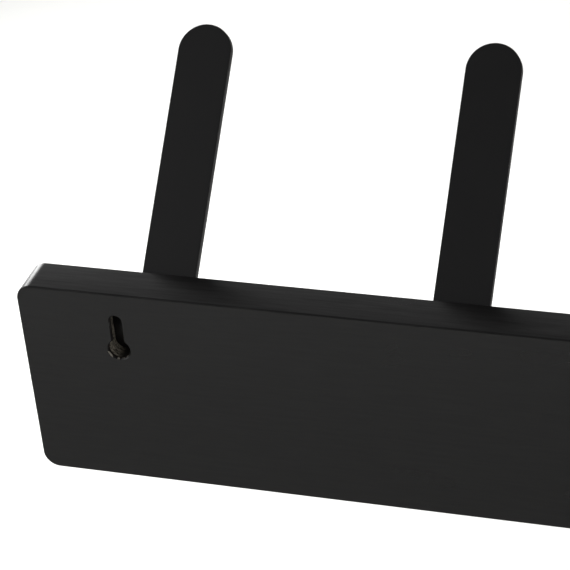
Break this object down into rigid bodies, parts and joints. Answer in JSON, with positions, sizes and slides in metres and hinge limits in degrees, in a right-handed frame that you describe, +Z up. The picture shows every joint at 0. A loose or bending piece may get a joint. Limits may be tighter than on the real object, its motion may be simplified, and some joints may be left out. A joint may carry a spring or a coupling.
{
  "type": "wall coat hook rack",
  "caption": "Flat black wall board with rounded corners, keyholes in its back, and bent steel strip hooks that lean up and out past its top edge to hold coats.",
  "frame": {"origin": "centre of the board's back face, which lies on the wall", "axes": "+X along the board, +Y into the wall, +Z up; the hooks stand out towards -Y"},
  "size_m": [0.66, 0.1095, 0.1787],
  "materials": {
    "board_paint": "satin black paint on wood",
    "hook_coat": "satin black powder coat on steel strip",
    "screw_finish": "black coated steel"
  },
  "bodies": {
    "root": {"back_board": "board_paint", "hook_1": "hook_coat", "hook_2": "hook_coat", "hook_3": "hook_coat", "hook_4": "hook_coat", "hook_5": "hook_coat", "hook_screws": "screw_finish"}
  },
  "joints": []
}
